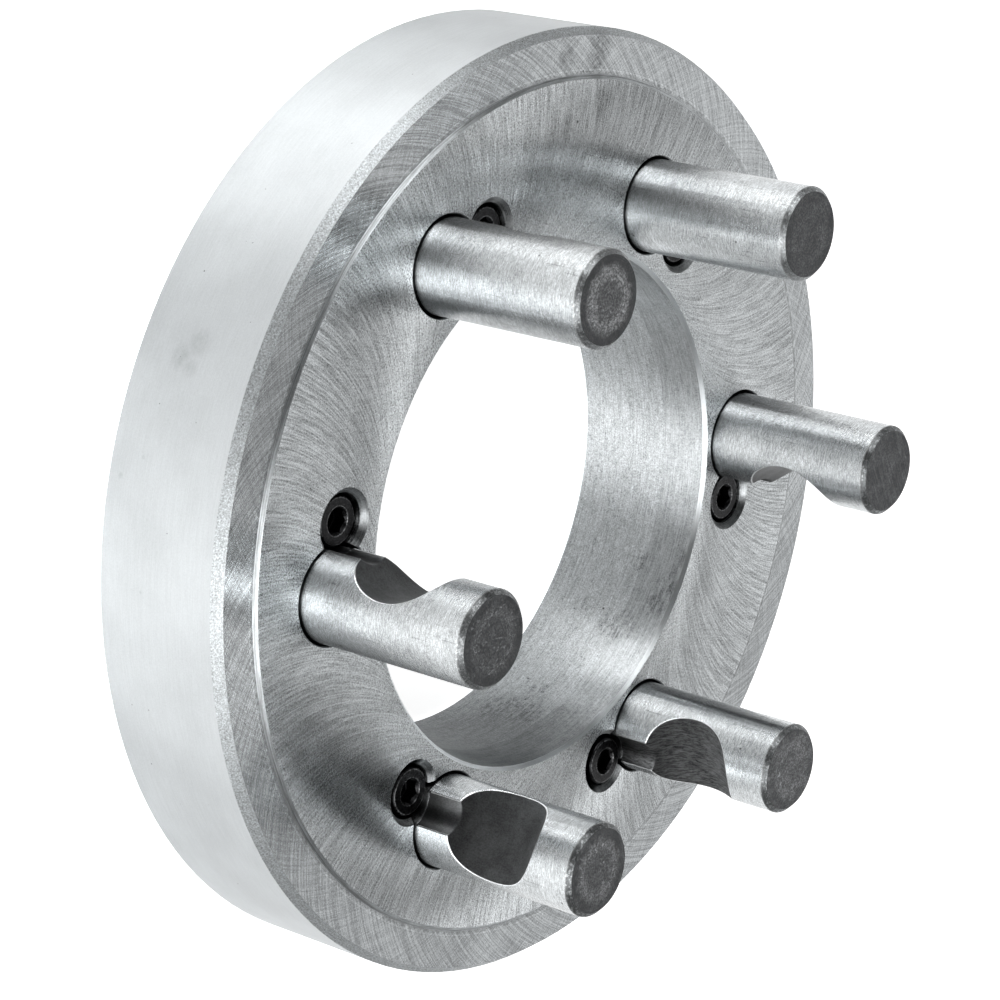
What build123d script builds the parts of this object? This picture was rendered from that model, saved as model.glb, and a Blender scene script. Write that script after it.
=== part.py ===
from build123d import *
import os
from math import atan2, cos, degrees, radians, sin, sqrt

# Lathe chuck backplate for a size 8 camlock spindle nose, with its six studs and their lock screws.
# Millimetres and degrees. The flat chuck side lies on z = 0, the spindle axis is Z and the studs point up.

# Plate
plate_diameter = 253.0
ring_thickness = 39.7            # chuck side to the outer ring of the spindle side
raised_face_diameter = 226.8
raised_face_height = 0.8         # ground face above the outer ring
flank_width = 1.1                # slope around the ground face
rim_chamfer_width = 1.9
rim_chamfer_height = 2.6
back_chamfer = 1.0

# Spindle taper and bore
taper_mouth_diameter = 139.72    # at the ground face, before its chamfer
taper_rate = 0.25                # loss of diameter for each millimetre of depth
taper_depth = 13.0
mouth_chamfer = 0.9
bore_back_chamfer = 0.5

# Camlock studs, with the cam notch measured from the ground face and from the axis of the stud
stud_count = 6
stud_circle_diameter = 171.4
stud_diameter = 24.8
stud_projection = 49.8
stud_end_chamfer = 1.3
stud_seat_depth = 14.0           # ground face to the shoulder
stud_seat_relief = 0.3           # radius of the stud in the plate is smaller by this
setting_line_width = 0.8         # groove that stands level with the ground face on a set stud
setting_line_depth = 0.4         # below the seat
stud_thread_diameter = 20.0
stud_thread_length = 17.0
stud_thread_chamfer = 1.5
stud_neck_diameter = 17.4
stud_neck_length = 3.0
stud_hole_clearance = 0.8
stud_hole_spare_depth = 1.0      # free depth under the shoulder, for setting the stud
notch_radius = 15.7
notch_floor = 4.0
notch_height = 23.6
stud_edge_break = 0.2            # along the notch and the channel
stud_turned = [7.5, 0.0, 0.0, 0.0, 0.0, 0.0]    # each stud, against its lock screw

# Lock screws, socket head cap screws that stand in the channel of the stud
screw_circle_diameter = 167.5
screw_angle = 12.0               # behind its stud, clockwise from the spindle side
screw_head_diameter = 13.0
screw_head_height = 8.0
screw_head_chamfer = 0.7
screw_shank_diameter = 8.0
screw_length = 16.0
screw_pitch = 1.25
screw_tip_chamfer = 1.0
socket_sides = 6
socket_across_flats = 6.0
socket_depth = 4.0
socket_chamfer = 0.35
screw_head_sink = 2.3            # top of a seated head below the ground face
counterbore_clearance = 1.0
counterbore_chamfer = 1.5        # wide chamfer at the mouth of the counterbore
channel_clearance = 1.4
screw_backed_off = [1.2, 2.3, 0.8, 0.8, 0.3, 0.0]    # each screw, off its seat

# Fits
thread_clearance = 0.05
tapped_hole_spare_depth = 4.0
hole_edge_break = 0.25
cutter_overrun = 1.0             # how far a cutter stands past the face that it opens

face_z = ring_thickness + raised_face_height
plate_radius = plate_diameter / 2
raised_face_radius = raised_face_diameter / 2
bore_radius = (taper_mouth_diameter - taper_rate * taper_depth) / 2
stud_circle_radius = stud_circle_diameter / 2
screw_circle_radius = screw_circle_diameter / 2
stud_radius = stud_diameter / 2
stud_seat_radius = stud_radius - stud_seat_relief
setting_line_radius = stud_seat_radius - setting_line_depth
stud_hole_radius = stud_radius + stud_hole_clearance
stud_hole_depth = stud_seat_depth + stud_hole_spare_depth
screw_head_radius = screw_head_diameter / 2
counterbore_radius = screw_head_radius + counterbore_clearance
counterbore_depth = screw_head_sink + screw_head_height
channel_radius = screw_head_radius + channel_clearance
screw_distance = sqrt(
    stud_circle_radius**2
    + screw_circle_radius**2
    - 2 * stud_circle_radius * screw_circle_radius * cos(radians(screw_angle))
)


def rod(radius, bottom, top):
    # Round bar on the Z axis between two heights.
    bar = Cylinder(radius, top - bottom, align=(Align.CENTER, Align.CENTER, Align.MIN))
    return Pos(0, 0, bottom) * bar


def hole(radius, depth, edge_width):
    # Cutter for a round hole down from z = 0, with a 45 degree chamfer at the top.
    edge = Cone(radius, radius + edge_width, edge_width, align=(Align.CENTER, Align.CENTER, Align.MAX))
    return rod(radius, -depth, cutter_overrun) + edge


def around(radius, angle):
    # Place on a circle in the plate, turned to point outwards.
    return Rot(0, 0, angle) * Pos(radius, 0, face_z)


def stud_angle(index):
    return index * 360 / stud_count


def stud_place(index):
    # Place of a stud on the ground face, with its x axis towards its lock screw.
    stud_x = stud_circle_radius * cos(radians(stud_angle(index)))
    stud_y = stud_circle_radius * sin(radians(stud_angle(index)))
    screw_x = screw_circle_radius * cos(radians(stud_angle(index) - screw_angle))
    screw_y = screw_circle_radius * sin(radians(stud_angle(index) - screw_angle))
    turn = degrees(atan2(screw_y - stud_y, screw_x - stud_x))
    return Pos(stud_x, stud_y, face_z) * Rot(0, 0, turn)


def plate_blank():
    # Turned body: outline of one half, carried around the Z axis.
    taper_start = taper_mouth_diameter / 2 - taper_rate / 2 * mouth_chamfer
    outline = Polyline(
        (bore_radius + bore_back_chamfer, 0),
        (plate_radius - back_chamfer, 0),
        (plate_radius, back_chamfer),
        (plate_radius, ring_thickness - rim_chamfer_height),
        (plate_radius - rim_chamfer_width, ring_thickness),
        (raised_face_radius + flank_width, ring_thickness),
        (raised_face_radius, face_z),
        (taper_mouth_diameter / 2 + mouth_chamfer, face_z),
        (taper_start, face_z - mouth_chamfer),
        (bore_radius, face_z - taper_depth),
        (bore_radius, bore_back_chamfer),
        close=True,
    )
    return revolve(make_face(Plane.XZ * outline), Axis.Z)


def stud_hole():
    # Clearance hole for the stud, then its tapped hole, both blind.
    tapped_radius = stud_thread_diameter / 2 + thread_clearance
    tapped_depth = stud_seat_depth + stud_neck_length + stud_thread_length + tapped_hole_spare_depth / 2
    return hole(stud_hole_radius, stud_hole_depth, hole_edge_break) + rod(tapped_radius, -tapped_depth, -stud_hole_depth)


def screw_hole():
    # Counterbore that breaks into the stud hole, then the tapped hole for the screw.
    tapped_radius = screw_shank_diameter / 2 + thread_clearance
    tapped_depth = counterbore_depth + screw_length + tapped_hole_spare_depth
    bored = hole(counterbore_radius, counterbore_depth, counterbore_chamfer)
    return bored + rod(tapped_radius, -tapped_depth, -counterbore_depth)


def backplate():
    plate = plate_blank()
    for index in range(stud_count):
        plate -= around(stud_circle_radius, stud_angle(index)) * stud_hole()
        plate -= around(screw_circle_radius, stud_angle(index) - screw_angle) * screw_hole()
    return plate


def stud_bar():
    # Round bar with its chamfered end, shoulder, neck and threaded end, its seam away from the notch.
    shoulder = -stud_seat_depth
    thread_top = shoulder - stud_neck_length
    thread_end = thread_top - stud_thread_length
    thread_radius = stud_thread_diameter / 2
    outline = Polyline(
        (0, stud_projection),
        (stud_radius - stud_end_chamfer, stud_projection),
        (stud_radius, stud_projection - stud_end_chamfer),
        (stud_radius, shoulder),
        (stud_neck_diameter / 2, shoulder),
        (stud_neck_diameter / 2, thread_top),
        (thread_radius, thread_top),
        (thread_radius, thread_end + stud_thread_chamfer),
        (thread_radius - stud_thread_chamfer, thread_end),
        (0, thread_end),
        close=True,
    )
    return Rot(0, 0, 180) * revolve(make_face(Plane.XZ * outline), Axis.Z)


def cam_notch():
    # Cutter for the notch that the cam pulls on: a cylinder across the stud.
    across = Rot(90, 0, 0) * Cylinder(notch_radius, 2 * stud_diameter)
    return Pos(notch_floor + notch_radius, 0, notch_height) * across


def screw_channel():
    # Cutter for the round channel that the head of the lock screw stands in.
    return Pos(screw_distance, 0, 0) * rod(channel_radius, -stud_seat_depth - cutter_overrun, notch_height)


def seat_turning():
    # Cutter for the setting line and the seat: a stepped ring from the ground face to the shoulder.
    outline = Polyline(
        (setting_line_radius, 0),
        (stud_radius + cutter_overrun, 0),
        (stud_radius + cutter_overrun, -stud_seat_depth),
        (stud_seat_radius, -stud_seat_depth),
        (stud_seat_radius, -setting_line_width),
        (setting_line_radius, -setting_line_width),
        close=True,
    )
    return revolve(make_face(Plane.XZ * outline), Axis.Z)


def camlock_stud():
    # The edges of the notch and the channel are all that isn't round on the side of the notch.
    cut_bar = stud_bar() - cam_notch() - screw_channel()
    cut_edges = [edge for edge in cut_bar.edges() if edge.geom_type != GeomType.CIRCLE and edge.center().X > 0]
    return chamfer(cut_edges, stud_edge_break) - seat_turning()


def screw_bar():
    # Head and shank, with the seat of the head at z = 0.
    shank_radius = screw_shank_diameter / 2
    outline = Polyline(
        (0, screw_head_height),
        (screw_head_radius - screw_head_chamfer, screw_head_height),
        (screw_head_radius, screw_head_height - screw_head_chamfer),
        (screw_head_radius, 0),
        (shank_radius, 0),
        (shank_radius, screw_tip_chamfer - screw_length),
        (shank_radius - screw_tip_chamfer, -screw_length),
        (0, -screw_length),
        close=True,
    )
    return revolve(make_face(Plane.XZ * outline), Axis.Z)


def hex_socket():
    # Cutter for the hexagon socket and the chamfer at its mouth.
    corner_radius = socket_across_flats / 2 / cos(radians(180 / socket_sides))
    socket = extrude(RegularPolygon(corner_radius, socket_sides), socket_depth)
    mouth = Cone(
        corner_radius, corner_radius + socket_chamfer, socket_chamfer, align=(Align.CENTER, Align.CENTER, Align.MAX)
    )
    return Pos(0, 0, screw_head_height - socket_depth) * socket + Pos(0, 0, screw_head_height) * mouth


def lock_screw():
    return screw_bar() - hex_socket()


def write(name, solid):
    solid.label = name
    export_step(solid, f"parts/{name}.step")


os.makedirs("parts", exist_ok=True)
write("backplate", backplate())
for index in range(stud_count):
    turned = stud_turned[index % len(stud_turned)]
    backed_off = screw_backed_off[index % len(screw_backed_off)]
    seat = around(screw_circle_radius, stud_angle(index) - screw_angle) * Pos(0, 0, -counterbore_depth)
    unscrewed = Pos(0, 0, backed_off) * Rot(0, 0, 360 * backed_off / screw_pitch)
    write(f"camlock_stud_{index + 1}", stud_place(index) * Rot(0, 0, turned) * camlock_stud())
    write(f"lock_screw_{index + 1}", seat * unscrewed * lock_screw())
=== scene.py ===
import math
import bpy
import numpy as np
from mathutils import Euler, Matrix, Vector


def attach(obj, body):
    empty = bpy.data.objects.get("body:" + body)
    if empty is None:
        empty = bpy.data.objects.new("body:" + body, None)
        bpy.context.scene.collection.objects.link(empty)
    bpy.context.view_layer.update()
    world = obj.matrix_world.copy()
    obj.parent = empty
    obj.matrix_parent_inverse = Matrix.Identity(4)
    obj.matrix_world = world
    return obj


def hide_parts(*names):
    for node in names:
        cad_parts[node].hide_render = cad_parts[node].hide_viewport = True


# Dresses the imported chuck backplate: steel finishes on plate and studs, new lock screws, studio and camera.
# Blender works in metres; the values below are in millimetres and degrees unless their names say otherwise.
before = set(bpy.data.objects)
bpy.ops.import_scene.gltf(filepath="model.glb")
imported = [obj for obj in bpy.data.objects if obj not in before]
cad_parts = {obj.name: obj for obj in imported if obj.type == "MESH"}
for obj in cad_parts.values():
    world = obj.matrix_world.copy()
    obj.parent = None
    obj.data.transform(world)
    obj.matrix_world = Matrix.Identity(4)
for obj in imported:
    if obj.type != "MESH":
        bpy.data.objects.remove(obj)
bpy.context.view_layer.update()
scene = bpy.context.scene
scene.view_settings.view_transform = "Standard"
millimetre = 0.001
print("frame loaded:", len(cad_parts), "nodes")

# sizes of the plate that the finishes follow, as the CAD has them
plate = {
    "faceHeight": 40.5,
    "plateRadius": 126.5,
    "rimChamferWidth": 1.9,
    "raisedFaceRadius": 113.4,
    "stepEnd": 114.5,
    "mouthRadius": 70.76,
    "taperDepth": 13.0,
    "studCount": 6,
    "studCircleRadius": 85.7,
    "studRadius": 12.4,
    "studTop": 90.3,
    "studChamfer": 1.3,
    "notchTurn": -12.2,             # of the line across a notch, against the line from the axis to its stud
    "screwCircleRadius": 83.75,
    "screwAngle": -12.0,
    "studHoleRadius": 13.2,
}


def feed(tree, socket, value):
    if isinstance(value, bpy.types.NodeSocket):
        tree.links.new(value, socket)
    else:
        socket.default_value = value


def addNode(tree, kind, inputs=None, **settings):
    made = tree.nodes.new(kind)
    for key, value in settings.items():
        setattr(made, key, value)
    for key, value in (inputs or {}).items():
        feed(tree, made.inputs[key], value)
    return made


def maths(tree, operation, *values, clamp=False):
    made = addNode(tree, "ShaderNodeMath", operation=operation, use_clamp=clamp)
    for index, value in enumerate(values):
        feed(tree, made.inputs[index], value)
    return made.outputs[0]


def product(tree, *factors):
    total = factors[0]
    for factor in factors[1:]:
        total = maths(tree, "MULTIPLY", total, factor)
    return total


def largest(tree, *values):
    total = values[0]
    for value in values[1:]:
        total = maths(tree, "MAXIMUM", total, value)
    return total


def scaled(tree, value, factor, offset):
    return maths(tree, "MULTIPLY_ADD", value, factor, offset)


def varied(tree, value, pattern, strength):
    # the value, moved up and down by a pattern that goes from 0 to 1
    return scaled(tree, maths(tree, "SUBTRACT", pattern, 0.5), strength, value)


def rest(tree, mask):
    # what a mask leaves over
    return maths(tree, "SUBTRACT", 1.0, mask)


def vectorMaths(tree, operation, *values, output="Vector"):
    made = addNode(tree, "ShaderNodeVectorMath", operation=operation)
    for index, value in enumerate(values):
        feed(tree, made.inputs[index], value)
    return made.outputs[output]


def joined(tree, x, y, z):
    return addNode(tree, "ShaderNodeCombineXYZ", {"X": x, "Y": y, "Z": z}).outputs[0]


def fade(tree, value, start, end):
    # 0 before start, 1 after end, smooth between them
    limits = {"Value": value, "From Min": start, "From Max": end}
    return addNode(tree, "ShaderNodeMapRange", limits, interpolation_type="SMOOTHSTEP").outputs[0]


def band(tree, value, start, end, soft):
    # 1 between start and end, 0 outside, with soft edges
    rise = fade(tree, value, start - soft, start + soft)
    fall = fade(tree, value, end - soft, end + soft)
    return maths(tree, "SUBTRACT", rise, fall)


def lineAt(tree, value, middle, width, soft):
    return band(tree, value, middle - width / 2, middle + width / 2, soft)


def mixed(tree, amount, first, second):
    # plain mix of two numbers
    made = addNode(tree, "ShaderNodeMix", data_type="FLOAT")
    feed(tree, made.inputs[0], amount)
    feed(tree, made.inputs[2], first)
    feed(tree, made.inputs[3], second)
    return made.outputs[0]


def mixedColor(tree, amount, first, second):
    made = addNode(tree, "ShaderNodeMix", data_type="RGBA")
    feed(tree, made.inputs[0], amount)
    for socket, value in ((made.inputs[6], first), (made.inputs[7], second)):
        feed(tree, socket, (*value, 1.0) if isinstance(value, tuple) and len(value) == 3 else value)
    return made.outputs[2]


def mixedVector(tree, amount, first, second):
    made = addNode(tree, "ShaderNodeMix", data_type="VECTOR")
    feed(tree, made.inputs[0], amount)
    feed(tree, made.inputs[4], first)
    feed(tree, made.inputs[5], second)
    return made.outputs[1]


def noise(tree, vector, scale, detail, roughness):
    inputs = {"Vector": vector, "Scale": scale, "Detail": detail, "Roughness": roughness}
    return addNode(tree, "ShaderNodeTexNoise", inputs).outputs[0]


def stretchedNoise(tree, vector, scale, detail, roughness, low, high):
    # noise with its levels from low to high stretched to the range 0 to 1
    return fade(tree, noise(tree, vector, scale, detail, roughness), low, high)


def shadedColor(tree, color, value):
    # the colour, made lighter or darker by one number
    return vectorMaths(tree, "MULTIPLY", color, joined(tree, value, value, value))


def newGroup(name, inputs, outputs):
    tree = bpy.data.node_groups.new(name, "ShaderNodeTree")
    for socketName, kind, value in inputs:
        made = tree.interface.new_socket(name=socketName, in_out="INPUT", socket_type=kind)
        if value is not None:
            made.default_value = value
    for socketName, kind in outputs:
        tree.interface.new_socket(name=socketName, in_out="OUTPUT", socket_type=kind)
    start = tree.nodes.new("NodeGroupInput")
    end = tree.nodes.new("NodeGroupOutput")
    return tree, start.outputs, end.inputs


def useGroup(tree, group, inputs):
    made = addNode(tree, "ShaderNodeGroup", node_tree=group)
    for key, value in inputs.items():
        feed(tree, made.inputs[key], value)
    return made.outputs


def newMaterial(name):
    material = bpy.data.materials.new(name)
    material.use_nodes = True
    tree = material.node_tree
    tree.nodes.clear()
    shader = addNode(tree, "ShaderNodeBsdfPrincipled")
    output = addNode(tree, "ShaderNodeOutputMaterial")
    tree.links.new(shader.outputs[0], output.inputs[0])
    return material, tree, shader


def placeInMillimetres(tree):
    coordinates = addNode(tree, "ShaderNodeTexCoord").outputs["Object"]
    return vectorMaths(tree, "MULTIPLY", coordinates, (1000.0, 1000.0, 1000.0))


def upwardness(tree):
    # 1 on a surface that faces up, 0 on a wall
    normal = addNode(tree, "ShaderNodeNewGeometry").outputs["Normal"]
    return addNode(tree, "ShaderNodeSeparateXYZ", {0: normal}).outputs["Z"]


def specklePattern(tree, place):
    return noise(tree, place, 2.4, 2.0, 0.7)    # grains of 0.4 mm


def feedBump(tree, shader, height, depth):
    # depth in millimetres, for a height of 1
    inputs = {"Height": height, "Strength": 1.0, "Distance": depth * millimetre}
    feed(tree, shader.inputs["Normal"], addNode(tree, "ShaderNodeBump", inputs).outputs[0])


def foldedPlaceGroup():
    # Place measured from the nearest of the studs or screws on a circle: the angle is folded into the share
    # of a turn between two of them, then the circle's radius is taken off.
    tree, given, wanted = newGroup(
        "FoldedPlace",
        [("Place", "NodeSocketVector", None), ("Circle Radius", "NodeSocketFloat", plate["studCircleRadius"]),
         ("Start Angle", "NodeSocketFloat", 0.0)],
        [(name, "NodeSocketFloat") for name in ("Distance", "Which", "Across", "Outward")],
    )
    split = addNode(tree, "ShaderNodeSeparateXYZ", {0: given["Place"]}).outputs
    angle = maths(tree, "ARCTAN2", split["Y"], split["X"])
    angle = maths(tree, "SUBTRACT", angle, maths(tree, "RADIANS", given["Start Angle"]))
    count = float(plate["studCount"])
    share = 2 * math.pi / count
    which = maths(tree, "ROUND", maths(tree, "DIVIDE", angle, share))
    folded = maths(tree, "SUBTRACT", angle, maths(tree, "MULTIPLY", which, share))
    radius = vectorMaths(tree, "LENGTH", joined(tree, split["X"], split["Y"], 0.0), output="Value")
    circle = maths(tree, "MULTIPLY", given["Circle Radius"], -1.0)
    outward = scaled(tree, radius, maths(tree, "COSINE", folded), circle)
    across = product(tree, radius, maths(tree, "SINE", folded))
    away = vectorMaths(tree, "LENGTH", joined(tree, outward, across, 0.0), output="Value")
    which = maths(tree, "MODULO", maths(tree, "ADD", which, count), count)
    for name, value in (("Distance", away), ("Which", which), ("Across", across), ("Outward", outward)):
        tree.links.new(value, wanted[name])
    return tree


def fineLinesGroup():
    # Tool marks: two sizes of noise mixed and stretched to the range 0 to 1. The place is divided by the
    # width of a line across the lay and by its length along the lay before it comes in.
    inputs, outputs = [("Place", "NodeSocketVector", None)], [("Lines", "NodeSocketFloat")]
    tree, given, wanted = newGroup("FineLines", inputs, outputs)
    wide = noise(tree, given["Place"], 1.0, 1.0, 0.5)
    fine = noise(tree, given["Place"], 2.9, 1.0, 0.5)
    tree.links.new(fade(tree, mixed(tree, 0.4, wide, fine), 0.38, 0.62), wanted["Lines"])
    return tree


def cloudsGroup():
    # Soft stains and handling marks: noise of the given size, stretched to the range 0 to 1.
    tree, given, wanted = newGroup(
        "Clouds",
        [("Place", "NodeSocketVector", None), ("Size", "NodeSocketFloat", 20.0)],
        [("Clouds", "NodeSocketFloat")],
    )
    inputs = {0: given["Place"], "Scale": maths(tree, "DIVIDE", 1.0, given["Size"])}
    place = addNode(tree, "ShaderNodeVectorMath", inputs, operation="SCALE").outputs[0]
    tree.links.new(stretchedNoise(tree, place, 1.0, 2.0, 0.6, 0.3, 0.7), wanted["Clouds"])
    return tree


def pitsGroup():
    # Small pits: points of a cell pattern, each with its own size, kept only in a share of the cells.
    tree, given, wanted = newGroup(
        "Pits",
        [("Place", "NodeSocketVector", None), ("Spacing", "NodeSocketFloat", 3.0),
         ("Share", "NodeSocketFloat", 0.1), ("Size", "NodeSocketFloat", 0.12)],
        [("Pits", "NodeSocketFloat")],
    )
    inputs = {0: given["Place"], "Scale": maths(tree, "DIVIDE", 1.0, given["Spacing"])}
    place = addNode(tree, "ShaderNodeVectorMath", inputs, operation="SCALE").outputs[0]
    cells = addNode(tree, "ShaderNodeTexVoronoi", {"Vector": place, "Scale": 1.0, "Randomness": 1.0})
    random = addNode(tree, "ShaderNodeSeparateColor", {0: cells.outputs["Color"]}).outputs
    kept = maths(tree, "LESS_THAN", random[0], given["Share"])
    size = product(tree, given["Size"], scaled(tree, random[1], 0.8, 0.4))
    core = maths(tree, "MULTIPLY", size, 0.4)
    limits = {"Value": cells.outputs["Distance"], "From Min": size, "From Max": core}
    spot = addNode(tree, "ShaderNodeMapRange", limits).outputs[0]
    tree.links.new(product(tree, spot, kept), wanted["Pits"])
    return tree


def wheelCentre(tree, radius, angle, wheelRadius, distance, sense):
    # Grinding lay made of equal circles. Each point lies on a circle of the wheel's radius whose centre is at
    # a fixed distance from the axis. The centre's angle is the point's own angle plus or minus the angle at
    # the axis in the triangle of axis, point and centre (law of cosines).
    squares = maths(tree, "MULTIPLY_ADD", radius, radius, maths(tree, "MULTIPLY", distance, distance))
    squares = maths(tree, "SUBTRACT", squares, maths(tree, "MULTIPLY", wheelRadius, wheelRadius))
    cosine = maths(tree, "DIVIDE", squares, product(tree, radius, distance, 2.0))
    swing = maths(tree, "ARCCOSINE", maths(tree, "MINIMUM", cosine, 1.0))
    turned = scaled(tree, swing, sense, angle)
    x = product(tree, maths(tree, "COSINE", turned), distance)
    y = product(tree, maths(tree, "SINE", turned), distance)
    return joined(tree, x, y, 0.0)


foldedPlace = foldedPlaceGroup()
fineLines = fineLinesGroup()
clouds = cloudsGroup()
pits = pitsGroup()
print("node groups made")


def linePattern(tree, place):
    return useGroup(tree, fineLines, {"Place": place})["Lines"]


def cloudPattern(tree, place, size):
    return useGroup(tree, clouds, {"Place": place, "Size": size})["Clouds"]


def pitPattern(tree, place, spacing, share, size):
    inputs = {"Place": place, "Spacing": spacing, "Share": share, "Size": size}
    return useGroup(tree, pits, inputs)["Pits"]


plateFinish = {
    "steel": (0.592, 0.617, 0.629),
    "wheelRadius": 55.3,            # of the grinding wheel that left the arcs on the raised face
    "wheelDistance": 124.0,         # from the plate's axis to the wheel's centre
    "ringWheelRadius": 60.0,
    "ringWheelDistance": 80.6,
    "arcWidth": 0.47,
    "arcLength": 12.0,
    "crossedShare": 0.24,           # of the second family of arcs
    "ringCrossedShare": 0.36,
    "turnedWidth": 0.28,
    "turnedLength": 9.0,
    "lineDepth": 0.01,              # of lines of height 1
    "lineHeight": 0.5,              # then what each part adds to it
    "lineHeights": {"face": 1.7, "ring": 0.5, "rim": -0.3},
    "roughnessSpread": 0.12,
    "anisotropy": 1.0,
    "rimLean": 0.85,                # spread of the lay on the rim
    "mottleSize": 1.3,
    "blotchSize": 6.5,
    "blotchStretch": (1.0, 1.0, 2.2),
    "blotchLevels": (0.4, 0.9),
    "blotchShare": 0.5,             # of blotches and of mottle in the mottling
    "mottleShare": 0.8,
    "stainSize": 24.0,
    "stainStrength": 0.08,
    "pitSpacing": 2.4,
    "pitShare": 0.09,
    "pitSize": 0.11,
    "pitDarkness": 0.8,
    # spots are x, y, z and radius
    "pitPatches": [
        (-73.0, -38.0, 40.5, 11.0), (-69.0, -51.0, 40.5, 7.0), (-92.0, -45.0, 40.5, 9.0),
        (-110.0, -46.0, 39.7, 8.0), (24.0, -106.0, 40.5, 9.0), (19.0, -76.0, 40.5, 7.0),
        (68.3, -86.0, 40.5, 4.0), (-65.2, 88.2, 40.5, 5.0),
        (46.0, 52.0, 12.0, 16.0), (18.0, 66.0, 20.0, 14.0),
    ],
    "pitPatchShare": 0.5,
    "pitPatchSize": 0.2,
    "smudges": [
        (-1.8, -126.5, 19.0, 4.6), (2.6, -126.4, 14.6, 4.2), (4.6, -126.4, 18.4, 3.0),
        (27.8, -123.4, 11.0, 0.7), (33.3, -122.0, 4.7, 1.1), (58.2, -112.3, 14.4, 0.6),
    ],
    "smudgeStrength": 0.11,
    "smudgeMottle": (0.6, 0.6),     # share of the mottle in a smudge, and what is there without it
    "ringStains": [
        (-105.6, -54.9, 39.7, 4.5), (-114.0, -43.5, 39.7, 6.0), (-109.5, -43.0, 39.7, 5.5),
        (-90.5, -46.5, 40.5, 5.0), (-101.0, -36.0, 40.5, 6.0),
    ],
    "ringStainStrength": 0.26,
    "smears": [
        (50.9, 45.4, 13.0, 8.0), (50.7, 45.6, 20.6, 7.0), (43.0, 52.9, 18.8, 5.0), (4.5, 69.4, 38.6, 7.0),
        (18.0, 65.8, 27.8, 8.0), (10.1, 68.5, 35.8, 6.0), (15.3, 66.5, 14.6, 3.5), (-4.9, 71.1, 40.5, 5.0),
        (-1.0, 68.2, 26.5, 4.0),
    ],
    "smearStrength": 0.28,
    "smearStretch": (0.32, 0.32, 0.9),
    "smearStreaks": (1.0, 2.0, 0.65, 0.4, 0.58),    # noise: scale, detail, roughness, low and high level
    # painted shade on one side of the bore
    "boreShades": [(64.1, 23.3, 22.0, 44.0)],
    "boreShadeStrength": 0.5,
    "cornerLimits": (-0.3, 0.45),   # painted shade of a small groove at the foot of the step
    "cornerSoftness": 0.08,
    "cornerShade": 0.78,
    "stepHighlightAndShadeLines": ((112.9, 1.12), (114.15, 0.7), (115.7, 1.18), (116.1, 0.92)),    # radius and tint; above 1 a painted highlight, below 1 painted shade
    "stepLineWidth": 0.24,
    "stepLineSoftness": 0.06,
    "brokenLine": (115.15, 0.6),
    "brokenLineWidth": 0.3,
    "brokenLineSoftness": 0.08,
    "brokenLineGaps": (0.5, 2.0, 0.7, 0.45, 0.6),   # noise, as for the streaks
    "darkest": 0.02,
    "holeShadeStrength": 0.9,
    "holeShade": (1.5, 4.0),        # depths below the face where it starts and ends
    "studHoleShade": (0.2, 1.0),
    # for each part: roughness, tint of the steel, contrast of the lines in colour, speckle, mottling
    "otherwise": (0.5, 0.9, 0.2, 0.3, 0.0),
    "parts": {
        "face": (0.28, 0.93, 0.72, 1.90, 0.0),
        "ring": (0.24, 0.88, 0.59, 1.30, 0.0),
        "rim": (0.38, 0.88, 0.05, 0.25, 0.0),
        "bore": (0.44, 0.96, 0.24, 1.60, 0.17),
        "taper": (0.42, 0.86, 0.24, 1.10, 0.15),
        "mouth": (0.42, 1.40, 0.20, 0.30, 0.05),
        # the step's tint above 1 is a painted highlight on its flank
        "step": (0.58, 1.25, 0.50, 0.60, 0.0),
        "chamfer": (0.80, 1.08, 0.10, 2.20, 0.05),
        # the low tints of the countersinks and the holes are painted shade
        "countersink": (0.36, 0.62, 0.30, 0.90, 0.2),
        "holes": (0.42, 0.38, 0.30, 0.90, 0.2),
        "back": (0.36, 0.95, 0.25, 0.30, 0.0),
    },
}


def plateMasks(tree, radius, height):
    # where each finish lies, told from the radius and from the slope of the surface
    levelStart, levelFull, wallFull, wallEnd = 0.9, 0.96, 0.25, 0.4    # upward part of the normal
    upward = upwardness(tree)
    level = fade(tree, upward, levelStart, levelFull)
    wall = rest(tree, fade(tree, maths(tree, "ABSOLUTE", upward), wallFull, wallEnd))
    back = maths(tree, "LESS_THAN", upward, -levelStart)
    slope = rest(tree, largest(tree, level, wall, back))
    margin = 0.5
    onRing = maths(tree, "GREATER_THAN", radius, plate["raisedFaceRadius"] + 0.3)
    onRim = maths(tree, "GREATER_THAN", radius, plate["plateRadius"] - 0.05)
    inBore = maths(tree, "LESS_THAN", radius, plate["mouthRadius"] + 0.2)
    nearStep = band(tree, radius, plate["raisedFaceRadius"] - margin, plate["stepEnd"] + margin, 0.1)
    nearEdge = maths(tree, "GREATER_THAN", radius, plate["plateRadius"] - plate["rimChamferWidth"] - margin)
    inTaper = maths(tree, "GREATER_THAN", height, plate["faceHeight"] - plate["taperDepth"])
    return {
        "face": product(tree, level, rest(tree, onRing)),
        "ring": product(tree, level, onRing),
        "rim": product(tree, wall, onRim),
        "bore": product(tree, wall, inBore),
        "taper": product(tree, wall, inBore, inTaper),
        "mouth": product(tree, slope, inBore),
        "step": product(tree, slope, nearStep),
        "chamfer": product(tree, slope, nearEdge),
        "countersink": product(tree, slope, rest(tree, largest(tree, nearStep, nearEdge, inBore))),
        "holes": product(tree, wall, rest(tree, largest(tree, inBore, onRim))),
        "back": back,
        "wall": wall,
    }


def patches(tree, place, spots):
    # 1 around the middle of each spot, 0 from its radius outwards
    coreShare = 0.3
    total = 0.0
    for x, y, z, size in spots:
        away = vectorMaths(tree, "DISTANCE", place, (x, y, z), output="Value")
        total = maths(tree, "MAXIMUM", total, fade(tree, away, size, size * coreShare))
    return total


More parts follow.
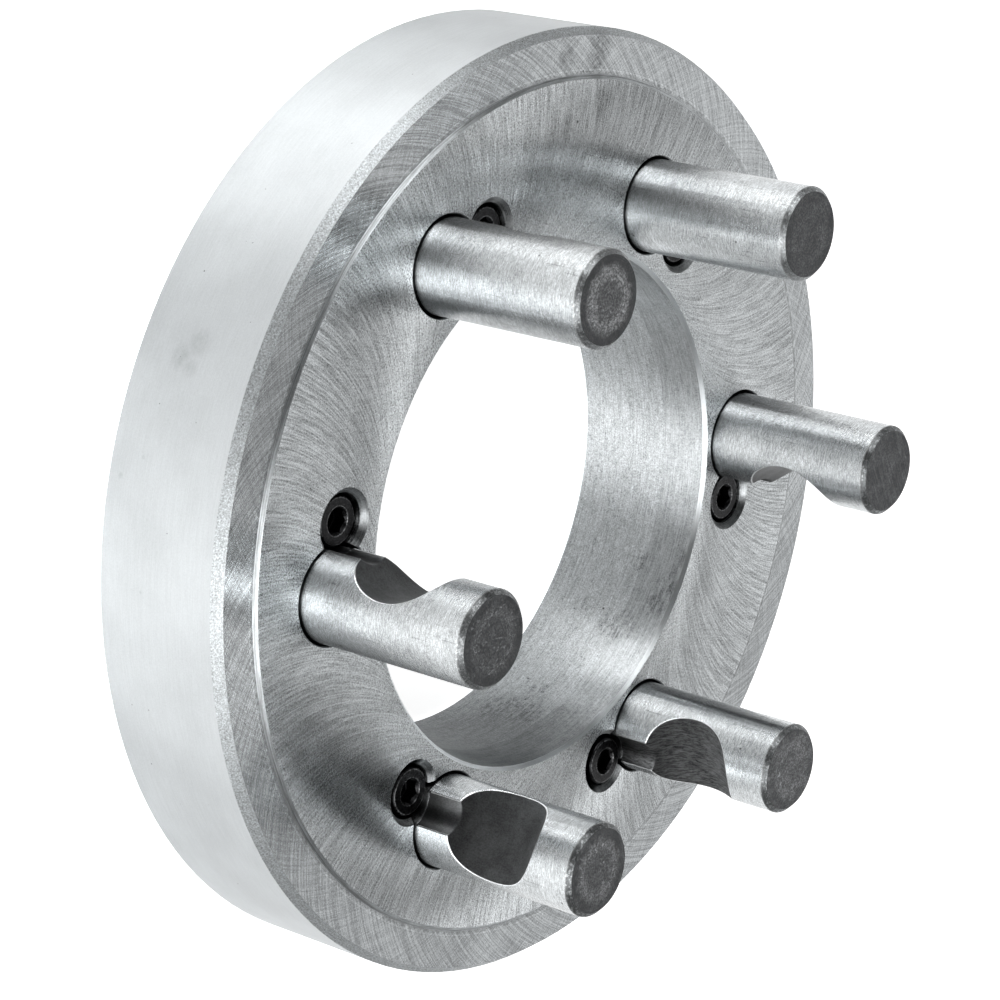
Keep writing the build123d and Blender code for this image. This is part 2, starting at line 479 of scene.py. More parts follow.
def turnedSteel():
    finish = plateFinish
    material, tree, shader = newMaterial("turnedSteel")
    place = placeInMillimetres(tree)
    split = addNode(tree, "ShaderNodeSeparateXYZ", {0: place}).outputs
    height = split["Z"]
    flatPlace = joined(tree, split["X"], split["Y"], 0.0)
    radius = vectorMaths(tree, "LENGTH", flatPlace, output="Value")
    masks = plateMasks(tree, radius, height)

    # grinding arcs on the face and the ring, in two families that cross
    wheelRadius = mixed(tree, masks["ring"], finish["wheelRadius"], finish["ringWheelRadius"])
    wheelDistance = mixed(tree, masks["ring"], finish["wheelDistance"], finish["ringWheelDistance"])
    angle = maths(tree, "ARCTAN2", split["Y"], split["X"])
    centres = [wheelCentre(tree, radius, angle, wheelRadius, wheelDistance, sense) for sense in (1.0, -1.0)]
    width = (finish["arcWidth"], finish["arcWidth"], 1.0)
    along = joined(tree, 0.0, 0.0, maths(tree, "DIVIDE", radius, finish["arcLength"]))
    across = [vectorMaths(tree, "DIVIDE", centre, width) for centre in centres]
    mainArcs, crossArcs = (vectorMaths(tree, "ADD", arc, along) for arc in across)
    ground = maths(tree, "MAXIMUM", masks["face"], masks["ring"])

    # rings left by turning: on walls they follow the height, on the back the radius
    length = (finish["turnedLength"], finish["turnedLength"], 1.0)
    depth = maths(tree, "DIVIDE", mixed(tree, masks["back"], height, radius), finish["turnedWidth"])
    rings = vectorMaths(tree, "DIVIDE", flatPlace, length)
    rings = vectorMaths(tree, "ADD", rings, joined(tree, 0.0, 0.0, depth))
    mainLines = linePattern(tree, mixedVector(tree, ground, rings, mainArcs))
    crossed = mixed(tree, masks["ring"], finish["crossedShare"], finish["ringCrossedShare"])
    lines = mixed(tree, product(tree, ground, crossed), mainLines, linePattern(tree, crossArcs))

    blend = finish["otherwise"]
    for part, values in finish["parts"].items():
        blend = [mixed(tree, masks[part], before, value) for before, value in zip(blend, values)]
    roughness, tint, contrast, speckled, mottled = blend

    stains = cloudPattern(tree, place, finish["stainSize"])
    mottle = cloudPattern(tree, place, finish["mottleSize"])
    stretched = vectorMaths(tree, "MULTIPLY", place, finish["blotchStretch"])
    blotches = cloudPattern(tree, stretched, finish["blotchSize"])
    speckle = specklePattern(tree, place)
    pitted = patches(tree, place, finish["pitPatches"])
    darkPits = pitPattern(tree, place, finish["pitSpacing"],
                          mixed(tree, pitted, finish["pitShare"], finish["pitPatchShare"]),
                          mixed(tree, pitted, finish["pitSize"], finish["pitPatchSize"]))

    # painted shade: the holes get darker with depth, those of the studs sooner
    local = useGroup(tree, foldedPlace, {"Place": place, "Circle Radius": plate["studCircleRadius"]})
    studHole = maths(tree, "LESS_THAN", local["Distance"], plate["studHoleRadius"] + 0.2)
    under = maths(tree, "SUBTRACT", plate["faceHeight"], height)
    depths = zip(finish["holeShade"], finish["studHoleShade"])
    start, end = (mixed(tree, studHole, *both) for both in depths)
    shade = product(tree, masks["holes"], fade(tree, under, start, end))
    tint = product(tree, tint, scaled(tree, shade, -finish["holeShadeStrength"], 1.0))

    # light and dark of the lines, speckle, mottling on the bore and the chamfers, then stains, smears and a
    # painted shade on one side of the bore
    value = varied(tree, tint, lines, contrast)
    value = varied(tree, value, speckle, speckled)
    blotches = fade(tree, blotches, *finish["blotchLevels"])
    blotchy = scaled(tree, blotches, finish["blotchShare"], product(tree, mottle, finish["mottleShare"]))
    value = maths(tree, "SUBTRACT", value, product(tree, blotchy, mottled))
    value = scaled(tree, stains, -finish["stainStrength"], value)
    for spots, strength in (("smudges", "smudgeStrength"), ("ringStains", "ringStainStrength")):
        uneven = scaled(tree, mottle, *finish["smudgeMottle"])
        smudged = product(tree, patches(tree, place, finish[spots]), uneven)
        value = scaled(tree, smudged, -finish[strength], value)
    stretched = vectorMaths(tree, "MULTIPLY", place, finish["smearStretch"])
    streaks = stretchedNoise(tree, stretched, *finish["smearStreaks"])
    smeared = product(tree, masks["bore"], patches(tree, place, finish["smears"]), streaks)
    value = scaled(tree, smeared, -finish["smearStrength"], value)
    # painted shade on one side of the bore
    shaded = product(tree, masks["bore"], patches(tree, place, finish["boreShades"]))
    value = product(tree, value, scaled(tree, shaded, -finish["boreShadeStrength"], 1.0))

    # painted highlight and shade lines along the step, a last dark line that is broken, and pits over all
    # painted shade of a small groove at the foot of the step
    low, high = (plate["stepEnd"] + limit for limit in finish["cornerLimits"])
    corner = product(tree, masks["ring"], band(tree, radius, low, high, finish["cornerSoftness"]))
    value = product(tree, value, mixed(tree, corner, 1.0, finish["cornerShade"]))
    onStep = maths(tree, "MAXIMUM", masks["step"], ground)
    for middle, lineTint in finish["stepHighlightAndShadeLines"]:
        line = lineAt(tree, radius, middle, finish["stepLineWidth"], finish["stepLineSoftness"])
        line = product(tree, onStep, line)
        value = product(tree, value, mixed(tree, line, 1.0, lineTint))
    middle, lineTint = finish["brokenLine"]
    line = lineAt(tree, radius, middle, finish["brokenLineWidth"], finish["brokenLineSoftness"])
    line = product(tree, line, stretchedNoise(tree, place, *finish["brokenLineGaps"]), masks["ring"])
    value = product(tree, value, mixed(tree, line, 1.0, lineTint))
    value = maths(tree, "MAXIMUM", value, finish["darkest"])
    value = product(tree, value, scaled(tree, darkPits, -finish["pitDarkness"], 1.0))
    feed(tree, shader.inputs["Base Color"], shadedColor(tree, finish["steel"], value))
    feed(tree, shader.inputs["Roughness"], varied(tree, roughness, speckle, finish["roughnessSpread"]))

    lineHeight = finish["lineHeight"]
    for part, more in finish["lineHeights"].items():
        lineHeight = scaled(tree, masks[part], more, lineHeight)
    feedBump(tree, shader, product(tree, mainLines, lineHeight), finish["lineDepth"])

    # highlights run across the lay; on the rim the lay is less even
    fromCentre = vectorMaths(tree, "SUBTRACT", flatPlace, centres[0])
    acrossLay = mixedVector(tree, masks["face"], flatPlace, fromCentre)
    random = addNode(tree, "ShaderNodeTexWhiteNoise", {"Vector": place}, noise_dimensions="3D")
    lean = maths(tree, "SUBTRACT", random.outputs["Value"], 0.5)
    lean = product(tree, lean, maths(tree, "MULTIPLY", masks["rim"], finish["rimLean"]))
    sideways = vectorMaths(tree, "CROSS_PRODUCT", (0.0, 0.0, 1.0), flatPlace)
    upright = (0.0, 0.0, plate["plateRadius"])
    upright = vectorMaths(tree, "MULTIPLY_ADD", sideways, joined(tree, lean, lean, lean), upright)
    tangent = vectorMaths(tree, "NORMALIZE", mixedVector(tree, masks["wall"], acrossLay, upright))
    feed(tree, shader.inputs["Tangent"], tangent)
    shader.inputs["Metallic"].default_value = 1.0
    shader.inputs["Anisotropic"].default_value = finish["anisotropy"]
    return material


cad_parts["backplate"].material_slots[0].material = turnedSteel()
print("backplate finished")


studFinish = {
    "steel": (0.545, 0.566, 0.576),
    "lineContrast": 0.46,
    "lineWidth": 0.16,
    "lineLength": 1.8,
    "lineDepth": 0.01,
    "roughness": 0.25,
    "roughnessSpread": 0.08,
    "anisotropy": 1.0,
    "polishScale": (0.45, 0.45, 0.6),
    "polishNoise": (1.0, 1.0, 0.5),         # scale, detail and roughness
    "polishHeight": 2.5,            # of the uneven polish against the height of the lines
    "speckle": 0.9,
    "stainSize": 6.0,
    "stainStrength": 0.16,
    "scrapeScale": (1.9, 1.9, 0.11),
    "scrapes": (1.0, 2.0, 0.5, 0.66, 0.73),     # noise: scale, detail, roughness, low and high level
    "scrapeStrength": 0.3,
    "pitSpacing": 3.0,
    "pitShare": 0.20,
    "pitSize": 0.15,
    "pitDarkness": 0.8,
    # painted shade on the stud inside the plate's hole
    "belowFaceShade": 0.2,
    "chamferRoughness": 0.6,
    "chamferWear": 0.5,
    "chamferNicks": (1.1, 2.0, 0.7, 0.52, 0.62),
    "endColor": (0.090, 0.093, 0.096),
    "endWornColor": (0.50, 0.51, 0.52),
    "endGrains": (2.0, 2.0, 0.75, 0.38, 0.68),
    "endRingRadius": 7.0,
    "endRingCore": 1.4,             # half its width before it wanders
    "endRingFade": (0.2, 3.0),
    "endRingNoise": (0.35, 2.0, 0.6),
    "endRingWander": 3.4,
    "endMiddle": (4.5, 8.0),        # radii between which the wear of the middle ends
    "endMiddleWear": 0.4,
    "endTurnedScale": 1.8,
    "endTurned": (1.0, 2.0, 0.6, 0.3, 0.7),
    "endScratchTurn": 34.3775,
    "endScratchScale": (2.6, 0.12, 1.0),
    "endScratchNoise": (1.0, 2.0, 0.6, 0.45, 0.65),
    "endScratchStrength": 0.13,
    # share of each pattern in the wear, and what is there without it
    "endWearStains": (0.8, 0.4),
    "endWearGrains": (0.95, 0.2),
    "endWearTurned": (0.5, 0.6),
    # one value for each stud, counted around the circle
    "chamferTints": (0.42, 0.50, 0.50, 0.86, 0.70, 0.52),
    "endRings": (0.55, 0.30, 0.0, 0.10, 1.0, 0.32),
    "endWear": (0.20, 0.55, 0.26, 0.28, 0.16, 0.14),
    "endScratches": (0.1, 0.1, 1.0, 0.0, 0.0, 0.1),
    "cutColor": (0.200, 0.205, 0.208),
    "cutRoughness": 0.5,
    "cutSpeckle": 1.2,
    "cutStainStrength": 0.3,
    "cutDarkest": 0.2,
    "cutFootShade": 0.16,            # painted shade where notch and channel meet the plate
    "cutFootHeight": 16.0,
    "chatteredStud": 1,             # counted from 0, the one whose notch shows the cutter's chatter
    "chatterScale": (2.1, 0.34),    # across the notch and along the stud
    "chatterNoise": (0.3, 2.0, 0.5),
    "chatterWobble": 4.0,
    "chatterContrast": 0.62,
    "cutContrast": 0.12,
    "edgeWearAndHighlight": (0.86, 0.88, 0.89),
    "edgeShine": 0.7,
    "edgeLimits": (-0.22, -0.02),   # bright edge of the cuts, worn steel and painted highlight, against the radius of the stud
    "edgeSoftness": 0.015,
    "endEdgeLimits": (-0.02, 0.2),  # bright edge of the end, worn steel and painted highlight, against the foot of its chamfer
    "endEdgeSoftness": 0.05,
    "endEdgeNicks": (0.5, 0.35),
}


def perStud(tree, which, values):
    # the value of the stud with that number
    total = 0.0
    for index, value in enumerate(values):
        total = scaled(tree, maths(tree, "COMPARE", which, float(index), 0.5), value, total)
    return total


def groundSteel():
    finish = studFinish
    material, tree, shader = newMaterial("groundSteel")
    place = placeInMillimetres(tree)
    height = addNode(tree, "ShaderNodeSeparateXYZ", {0: place}).outputs["Z"]
    local = useGroup(tree, foldedPlace, {"Place": place, "Circle Radius": plate["studCircleRadius"]})
    radius, which = local["Distance"], local["Which"]
    faceHeight, studTop = plate["faceHeight"], plate["studTop"]
    chamferFoot = studTop - plate["studChamfer"]
    hair = 0.05
    onEnd = maths(tree, "GREATER_THAN", height, studTop - hair)
    nearEnd = maths(tree, "GREATER_THAN", height, chamferFoot - hair)
    onChamfer = product(tree, nearEnd, band(tree, upwardness(tree), 0.35, 0.95, 0.05))
    aboveFace = fade(tree, height, faceHeight - 0.6, faceHeight + 0.1)
    cut = product(tree, maths(tree, "LESS_THAN", radius, plate["studRadius"] - 0.1),
                  maths(tree, "LESS_THAN", height, chamferFoot - 2.0),
                  maths(tree, "GREATER_THAN", height, faceHeight))

    # lines around each stud; its number moves the pattern, so no two are the same
    length = (finish["lineLength"], finish["lineLength"], 1.0)
    around = joined(tree, local["Outward"], local["Across"], maths(tree, "MULTIPLY", which, 40.0))
    upwards = joined(tree, 0.0, 0.0, maths(tree, "DIVIDE", height, finish["lineWidth"]))
    lines = linePattern(tree, vectorMaths(tree, "ADD", vectorMaths(tree, "DIVIDE", around, length), upwards))
    stains = cloudPattern(tree, place, finish["stainSize"])
    stretched = vectorMaths(tree, "MULTIPLY", place, finish["polishScale"])
    polish = noise(tree, stretched, *finish["polishNoise"])
    speckle = specklePattern(tree, place)
    darkPits = pitPattern(tree, place, finish["pitSpacing"], finish["pitShare"], finish["pitSize"])

    # ground side and chamfer
    value = varied(tree, 1.0, lines, finish["lineContrast"])
    value = varied(tree, value, speckle, finish["speckle"])
    value = scaled(tree, stains, -finish["stainStrength"], value)
    stretched = vectorMaths(tree, "MULTIPLY", place, finish["scrapeScale"])
    scrapes = stretchedNoise(tree, stretched, *finish["scrapes"])
    value = scaled(tree, scrapes, -finish["scrapeStrength"], value)
    nicks = stretchedNoise(tree, place, *finish["chamferNicks"])
    chamferTint = scaled(tree, nicks, finish["chamferWear"], perStud(tree, which, finish["chamferTints"]))
    value = product(tree, value, mixed(tree, onChamfer, 1.0, chamferTint))
    # painted shade on the part of the stud inside its hole
    value = product(tree, value, mixed(tree, aboveFace, finish["belowFaceShade"], 1.0))
    value = product(tree, value, scaled(tree, darkPits, -finish["pitDarkness"], 1.0))
    color = shadedColor(tree, finish["steel"], value)

    # turned end: dark, with a lighter worn ring on some and straight scratches on one
    grains = stretchedNoise(tree, place, *finish["endGrains"])
    fromRing = maths(tree, "ABSOLUTE", maths(tree, "SUBTRACT", radius, finish["endRingRadius"]))
    fromRing = maths(tree, "SUBTRACT", fromRing, finish["endRingCore"])
    uneven = noise(tree, place, *finish["endRingNoise"])
    fromRing = scaled(tree, uneven, finish["endRingWander"], fromRing)
    nearRing = rest(tree, fade(tree, fromRing, *finish["endRingFade"]))
    middle = rest(tree, fade(tree, radius, *finish["endMiddle"]))
    turned = joined(tree, maths(tree, "MULTIPLY", radius, finish["endTurnedScale"]), which, 0.0)
    turned = stretchedNoise(tree, turned, *finish["endTurned"])
    inputs = {"Vector": place, "Angle": math.radians(finish["endScratchTurn"])}
    scratched = addNode(tree, "ShaderNodeVectorRotate", inputs, rotation_type="Z_AXIS").outputs[0]
    scratched = vectorMaths(tree, "MULTIPLY", scratched, finish["endScratchScale"])
    scratches = stretchedNoise(tree, scratched, *finish["endScratchNoise"])
    scratches = product(tree, scratches, perStud(tree, which, finish["endScratches"]))
    amount = scaled(tree, middle, finish["endMiddleWear"], nearRing)
    amount = product(tree, amount, perStud(tree, which, finish["endRings"]))
    stained = scaled(tree, stains, *finish["endWearStains"])
    amount = scaled(tree, stained, perStud(tree, which, finish["endWear"]), amount)
    amount = product(tree, amount, scaled(tree, grains, *finish["endWearGrains"]),
                     scaled(tree, turned, *finish["endWearTurned"]))
    amount = maths(tree, "MULTIPLY_ADD", scratches, finish["endScratchStrength"], amount, clamp=True)
    endColor = mixedColor(tree, amount, finish["endColor"], finish["endWornColor"])
    color = mixedColor(tree, onEnd, color, endColor)

    # notch and channel: dark milled steel with painted shade towards the plate, and the cutter's chatter on
    # one stud
    turn = math.radians(plate["notchTurn"])
    acrossNotch = maths(tree, "MULTIPLY", local["Across"], math.sin(turn))
    acrossNotch = scaled(tree, local["Outward"], math.cos(turn), acrossNotch)
    wobble = maths(tree, "MULTIPLY", noise(tree, place, *finish["chatterNoise"]), finish["chatterWobble"])
    acrossScale, heightScale = finish["chatterScale"]
    streaks = joined(tree, scaled(tree, acrossNotch, acrossScale, wobble),
                     maths(tree, "MULTIPLY", height, heightScale), 0.0)
    chattered = maths(tree, "COMPARE", which, float(finish["chatteredStud"]), 0.5)
    contrast = scaled(tree, chattered, finish["chatterContrast"], finish["cutContrast"])
    cutValue = varied(tree, 1.0, speckle, finish["cutSpeckle"])
    cutValue = varied(tree, cutValue, linePattern(tree, streaks), contrast)
    cutValue = scaled(tree, stains, -finish["cutStainStrength"], cutValue)
    fromFoot = fade(tree, height, faceHeight, faceHeight + finish["cutFootHeight"])
    cutValue = maths(tree, "MAXIMUM", cutValue, finish["cutDarkest"])
    cutValue = product(tree, cutValue, mixed(tree, fromFoot, finish["cutFootShade"], 1.0))
    color = mixedColor(tree, cut, color, shadedColor(tree, finish["cutColor"], cutValue))

    # bright edges along the notch and the channel, and around the foot of the end chamfer: worn steel and
    # painted highlight
    low, high = (plate["studRadius"] + limit for limit in finish["edgeLimits"])
    cutEdge = product(tree, band(tree, radius, low, high, finish["edgeSoftness"]),
                      band(tree, height, faceHeight + 0.5, chamferFoot - 0.5, 0.1))
    low, high = (chamferFoot + limit for limit in finish["endEdgeLimits"])
    endEdge = band(tree, height, low, high, finish["endEdgeSoftness"])
    edge = maths(tree, "MAXIMUM", maths(tree, "MULTIPLY", cutEdge, finish["edgeShine"]),
                 product(tree, endEdge, scaled(tree, nicks, *finish["endEdgeNicks"])))
    feed(tree, shader.inputs["Base Color"], mixedColor(tree, edge, color, finish["edgeWearAndHighlight"]))

    dull = maths(tree, "MAXIMUM", onEnd, cut)
    roughness = mixed(tree, dull, finish["roughness"], finish["cutRoughness"])
    roughness = mixed(tree, onChamfer, roughness, finish["chamferRoughness"])
    feed(tree, shader.inputs["Roughness"], varied(tree, roughness, speckle, finish["roughnessSpread"]))
    feedBump(tree, shader, scaled(tree, polish, finish["polishHeight"], lines), finish["lineDepth"])
    feed(tree, shader.inputs["Tangent"], joined(tree, 0.0, 0.0, 1.0))
    shader.inputs["Metallic"].default_value = 1.0
    shader.inputs["Anisotropic"].default_value = finish["anisotropy"]
    return material


studMaterial = groundSteel()
for index in range(plate["studCount"]):
    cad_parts[f"camlock_stud_{index + 1}"].material_slots[0].material = studMaterial
print("studs finished")


screwShape = {
    "columns": 192,
    "headRadius": 6.5,
    "headHeight": 8.0,
    "headRounding": 0.7,
    "socketAcrossFlats": 6.0,
    "socketDepth": 4.0,
    "socketChamfer": 0.35,
    "knurlCount": 48,
    "knurlDepth": 0.2,
    "knurlLow": 0.9,
    "knurlHigh": 7.0,
    "knurlFade": 0.3,
    "footChamfer": 0.25,
    "neckFillet": 0.4,
    "shankRadius": 4.0,
    "length": 16.0,
    "pitch": 1.25,
    "threadDepth": 0.72,
    "threadTop": -1.2,
    "threadFlat": 0.12,             # crest and flank as parts of half a pitch
    "threadFlank": 0.74,
    "rowsPerPitch": 8,
    "tipChamfer": 1.0,
    "seatHeight": 30.2,
    "backedOff": [1.2, 2.3, 0.8, 0.8, 0.3, 0.0],
    "sharpAngle": 38.0,
}

screwFinish = {
    "oxide": (0.012, 0.012, 0.013),
    "headOxide": (0.016, 0.016, 0.017),
    "wearAndSheen": (0.30, 0.305, 0.31),
    "lineLength": 3.0,
    "lineWidth": 0.16,
    "lineDepth": 0.008,
    "roughness": 0.27,
    "roughnessSpread": 0.12,
    "wearAndSheenWidth": 0.28,
    "wearAndSheenSoftness": 0.1,
    "patches": (1.3, 3.0, 0.6, 0.38, 0.62),     # noise: scale, detail, roughness, low and high level
    "wearAndSheenPatches": (0.7, 0.15),     # share of the patches in the wear and painted highlight, and what is there without them
    "rubbed": 0.12,
}


def screwRows(shape):
    # Profile of a cap screw carried around its axis, one row of points after another from the floor of the
    # socket to the tip. In the socket the radius is that of a hexagon: apothem / cos(angle from mid-side).
    columns = shape["columns"]
    theta = np.arange(columns) * 2 * np.pi / columns
    one = np.ones(columns)
    apothem = shape["socketAcrossFlats"] / 2
    sixth = np.pi / 3
    hexagon = apothem / np.cos((theta % sixth) - sixth / 2)
    mouth = apothem / np.cos(sixth / 2) + shape["socketChamfer"]
    top, floor = shape["headHeight"], shape["headHeight"] - shape["socketDepth"]
    rows = [(share * hexagon, floor * one) for share in (0.3, 0.6, 0.85, 0.96)]
    rows += [(hexagon, (floor + lift) * one) for lift in (0.12, 0.6, 1.4, 2.2)]
    rows += [(hexagon, top - (mouth - hexagon)), (mouth * one, top * one)]

    # top of the head and its rounded edge
    head, rounding = shape["headRadius"], shape["headRounding"]
    rows += [(radius * one, top * one) for radius in np.linspace(mouth + 0.05, head - rounding - 0.05, 5)]
    for angle in np.linspace(0, np.pi / 2, 7):
        rows.append(((head - rounding + rounding * np.sin(angle)) * one,
                     (top - rounding + rounding * np.cos(angle)) * one))

    # straight knurl, cut inwards as a wave around the head and fading out at its two ends
    wave = 0.5 - 0.5 * np.cos(theta * shape["knurlCount"])
    low, high, fading = shape["knurlLow"], shape["knurlHigh"], shape["knurlFade"]
    for z in np.concatenate([[high], np.linspace(high - fading, low + fading, 8), [low]]):
        depth = shape["knurlDepth"] * min(1.0, (high - z) / fading, (z - low) / fading)
        rows.append((head - depth * wave, z * one))
    chamfer, shank, fillet = shape["footChamfer"], shape["shankRadius"], shape["neckFillet"]
    rows += [(head * one, chamfer * one), ((head - chamfer) * one, 0 * one)]
    for angle in np.linspace(0, np.pi / 2, 5):
        rows.append(((shank + fillet - fillet * np.sin(angle)) * one,
                     (fillet * np.cos(angle) - fillet) * one))

    # thread: the depth is a flattened triangle wave of height / pitch - angle / one turn
    bottom, tip = -shape["length"], shape["tipChamfer"]
    count = int(round((shape["threadTop"] - bottom) / shape["pitch"] * shape["rowsPerPitch"]))
    for z in np.linspace(shape["threadTop"], bottom, count + 1):
        phase = (z / shape["pitch"] - theta / (2 * np.pi)) % 1.0
        wave = np.clip((np.abs(2 * phase - 1) - shape["threadFlat"]) / shape["threadFlank"], 0.0, 1.0)
        runOut = min(1.0, (shape["threadTop"] - z) / shape["pitch"])
        cone = shank - tip + (z - bottom)
        rows.append((np.minimum(shank - shape["threadDepth"] * runOut * wave, cone), z * one))
    rows += [(0.6 * (shank - tip) * one, bottom * one)]
    radii, heights = (np.array(part) for part in zip(*rows))
    return radii * np.cos(theta), radii * np.sin(theta), heights


def closedGrid(name, points, firstPole, lastPole):
    # Skin over rows x columns of points, closed around and at both ends; the normals point outwards.
    rowCount, columns = points.shape[:2]
    vertices = np.concatenate([points.reshape(-1, 3), [firstPole, lastPole]])
    row, column = np.meshgrid(np.arange(rowCount - 1), np.arange(columns), indexing="ij")
    here, following = row * columns + column, row * columns + (column + 1) % columns
    quads = np.stack([here, here + columns, following + columns, following], -1).reshape(-1, 4)
    ring = np.arange(columns)
    after = (ring + 1) % columns
    last = (rowCount - 1) * columns
    firstFan = np.stack([ring, after, np.full(columns, rowCount * columns)], -1)
    lastFan = np.stack([last + after, last + ring, np.full(columns, rowCount * columns + 1)], -1)
    mesh = bpy.data.meshes.new(name)
    mesh.from_pydata(vertices.tolist(), [], quads.tolist() + firstFan.tolist() + lastFan.tolist())
    mesh.shade_smooth()
    mesh.set_sharp_from_angle(angle=math.radians(screwShape["sharpAngle"]))
    made = bpy.data.objects.new(name, mesh)
    scene.collection.objects.link(made)
    return made


def screwPiece(index, material):
    shape = screwShape
    x, y, z = screwRows(shape)
    offSeat = shape["backedOff"][index]
    place = math.radians(360 / plate["studCount"] * index + plate["screwAngle"])
    turn = place + 2 * math.pi * offSeat / shape["pitch"]
    lift = shape["seatHeight"] + offSeat
    axisX, axisY = plate["screwCircleRadius"] * math.cos(place), plate["screwCircleRadius"] * math.sin(place)
    points = np.stack([axisX + x * math.cos(turn) - y * math.sin(turn),
                       axisY + x * math.sin(turn) + y * math.cos(turn), lift + z], -1) * millimetre
    socketFloor = np.array([axisX, axisY, lift + shape["headHeight"] - shape["socketDepth"]]) * millimetre
    tip = np.array([axisX, axisY, lift - shape["length"]]) * millimetre
    piece = closedGrid(f"dressed_lock_screw_{index + 1}", points, socketFloor, tip)
    piece.data.materials.append(material)
    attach(piece, "root")
    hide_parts(f"lock_screw_{index + 1}")


def blackOxide():
    finish, shape = screwFinish, screwShape
    material, tree, shader = newMaterial("blackOxideSteel")
    place = placeInMillimetres(tree)
    height = addNode(tree, "ShaderNodeSeparateXYZ", {0: place}).outputs["Z"]
    local = useGroup(tree, foldedPlace, {"Place": place, "Circle Radius": plate["screwCircleRadius"],
                                         "Start Angle": plate["screwAngle"]})
    radius = local["Distance"]
    sizes = (finish["lineLength"], finish["lineLength"], finish["lineWidth"])
    rings = joined(tree, local["Outward"], local["Across"], radius)
    lines = linePattern(tree, vectorMaths(tree, "DIVIDE", rings, sizes))
    rim = shape["seatHeight"] + shape["headHeight"] - 1.2
    onHead = product(tree, maths(tree, "GREATER_THAN", height, rim), fade(tree, upwardness(tree), 0.1, 0.4))
    mouth = shape["socketAcrossFlats"] / math.sqrt(3) + shape["socketChamfer"]
    edge = shape["headRadius"] - 0.7 * shape["headRounding"]
    width, soft = finish["wearAndSheenWidth"], finish["wearAndSheenSoftness"]
    # worn steel and painted highlight on the rings at the socket's mouth and the head's rounded edge
    rounds = [lineAt(tree, radius, middle, width, soft) for middle in (mouth, edge)]
    patchy = stretchedNoise(tree, place, *finish["patches"])
    ringWearAndSheen = product(tree, largest(tree, *rounds), scaled(tree, patchy, *finish["wearAndSheenPatches"]))
    rubbed = product(tree, lines, patchy, finish["rubbed"])
    color = mixedColor(tree, onHead, finish["oxide"], finish["headOxide"])
    wearAndSheen = product(tree, onHead, largest(tree, ringWearAndSheen, rubbed))
    feed(tree, shader.inputs["Base Color"], mixedColor(tree, wearAndSheen, color, finish["wearAndSheen"]))
    roughness = scaled(tree, patchy, finish["roughnessSpread"], finish["roughness"])
    feed(tree, shader.inputs["Roughness"], roughness)
    feedBump(tree, shader, lines, finish["lineDepth"])
    shader.inputs["Metallic"].default_value = 1.0
    return material


screwMaterial = blackOxide()
for index in range(plate["studCount"]):
    screwPiece(index, screwMaterial)
print("lock screws finished")


studio = {
    # lengths in metres
    "floorSize": 6.0,
    "floorAlbedo": 0.8,
    "floorGlow": 0.8,
    "glowRise": (0.5, 1.8),         # distances between which the glow gets full, as the lamps reach less far
    "worldLevel": 0.08,
    "backdropTop": 0.12,            # sine of the elevation up to which the backdrop is white
    "roomStart": 0.26,
    "boxDistance": 1.5,
    "boxTarget": 0.04,
    "boxes": [
        # azimuth, elevation, width and height in degrees as seen from the part, then radiance
        (213.0, 10.0, 38.0, 17.0, 9.0),
        (222.0, 30.0, 26.0, 24.0, 2.3),
        (309.0, 23.0, 40.0, 17.0, 8.0),
        (324.0, 41.0, 44.0, 17.0, 4.0),
        (101.0, 25.0, 42.0, 46.0, 0.85),
        (0.0, 68.0, 40.0, 20.0, 3.0),
    ],
}


def seenRays(tree):
    # 1 for the rays that see the background: camera, glossy and transmission rays
    path = addNode(tree, "ShaderNodeLightPath").outputs
    return largest(tree, path["Is Camera Ray"], path["Is Glossy Ray"], path["Is Transmission Ray"])


def paleFloor():
    # Pale and lit like the part, so it keeps the shadow, plus a glow that lifts it to white. Only camera,
    # glossy and transmission rays meet the glow, so it doesn't light the part.
    bpy.ops.mesh.primitive_plane_add(size=studio["floorSize"])
    floor = bpy.context.object
    floor.name = "floor"
    material, tree, shader = newMaterial("paleFloor")
    shader.inputs["Base Color"].default_value = (studio["floorAlbedo"],) * 3 + (1.0,)
    shader.inputs["Roughness"].default_value = 0.9
    shader.inputs["Specular IOR Level"].default_value = 0.0
    away = vectorMaths(tree, "LENGTH", addNode(tree, "ShaderNodeTexCoord").outputs["Object"], output="Value")
    glowLevel = mixed(tree, fade(tree, away, *studio["glowRise"]), studio["floorGlow"], 1.0)
    strength = product(tree, seenRays(tree), glowLevel)
    glow = addNode(tree, "ShaderNodeEmission", {"Color": (1.0, 1.0, 1.0, 1.0), "Strength": strength})
    lit = addNode(tree, "ShaderNodeAddShader")
    tree.links.new(shader.outputs[0], lit.inputs[0])
    tree.links.new(glow.outputs[0], lit.inputs[1])
    output = next(node for node in tree.nodes if node.type == "OUTPUT_MATERIAL")
    tree.links.new(lit.outputs[0], output.inputs[0])
    floor.data.materials.append(material)


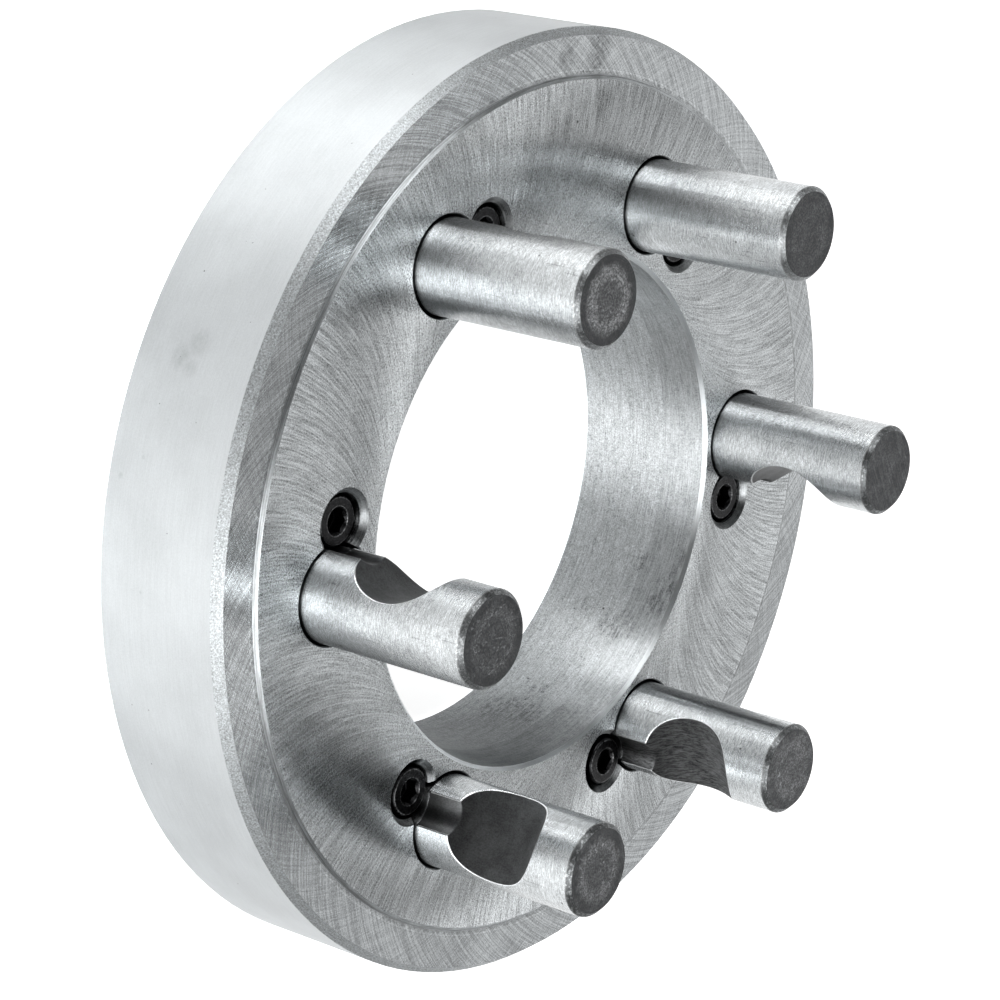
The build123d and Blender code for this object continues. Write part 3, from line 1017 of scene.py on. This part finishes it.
def paleWorld():
    # Behind the floor stands a white backdrop that ends a little above the horizon, with the dark room over
    # it. Camera, glossy and transmission rays meet it; all others meet the plain level that lights the part.
    world = bpy.data.worlds.new("studio")
    scene.world = world
    world.use_nodes = True
    tree = world.node_tree
    tree.nodes.clear()
    direction = addNode(tree, "ShaderNodeTexCoord").outputs["Generated"]
    upward = addNode(tree, "ShaderNodeSeparateXYZ", {0: direction}).outputs["Z"]
    room = fade(tree, upward, studio["backdropTop"], studio["roomStart"])
    backdrop = mixed(tree, room, 1.0, studio["worldLevel"])
    level = mixed(tree, seenRays(tree), studio["worldLevel"], backdrop)
    background = addNode(tree, "ShaderNodeBackground", {"Color": (1.0, 1.0, 1.0, 1.0), "Strength": level})
    output = addNode(tree, "ShaderNodeOutputWorld")
    tree.links.new(background.outputs[0], output.inputs[0])


def softBox(azimuth, elevation, across, upright, radiance):
    # A rectangle lamp that faces the middle of the plate; its power is radiance x area x pi.
    lamp = bpy.data.lights.new("softBox", "AREA")
    lamp.shape = "RECTANGLE"
    reach = 2 * studio["boxDistance"]
    lamp.size, lamp.size_y = (reach * math.tan(math.radians(angle / 2)) for angle in (across, upright))
    lamp.energy = radiance * lamp.size * lamp.size_y * math.pi
    made = bpy.data.objects.new("softBox", lamp)
    scene.collection.objects.link(made)
    turn, rise = math.radians(azimuth), math.radians(elevation)
    away = Vector((math.cos(turn) * math.cos(rise), math.sin(turn) * math.cos(rise), math.sin(rise)))
    made.location = away * studio["boxDistance"] + Vector((0.0, 0.0, studio["boxTarget"]))
    made.rotation_euler = away.to_track_quat("Z", "Y").to_euler()


cameraView = {
    "place": (91.50, -726.30, 563.09),
    "turn": (-18.766, -51.203, 120.668),
    "lens": 123.17,
    "sensorWidth": 36.0,
}


def photoCamera():
    lens = bpy.data.cameras.new("camera")
    lens.lens, lens.sensor_width = cameraView["lens"], cameraView["sensorWidth"]
    lens.clip_start, lens.clip_end = 0.01, 20.0
    made = bpy.data.objects.new("camera", lens)
    scene.collection.objects.link(made)
    made.location = Vector(cameraView["place"]) * millimetre
    made.rotation_euler = Euler([math.radians(a) for a in cameraView["turn"]], "XYZ")
    scene.camera = made


paleFloor()
paleWorld()
for box in studio["boxes"]:
    softBox(*box)
photoCamera()
print("studio and camera placed")
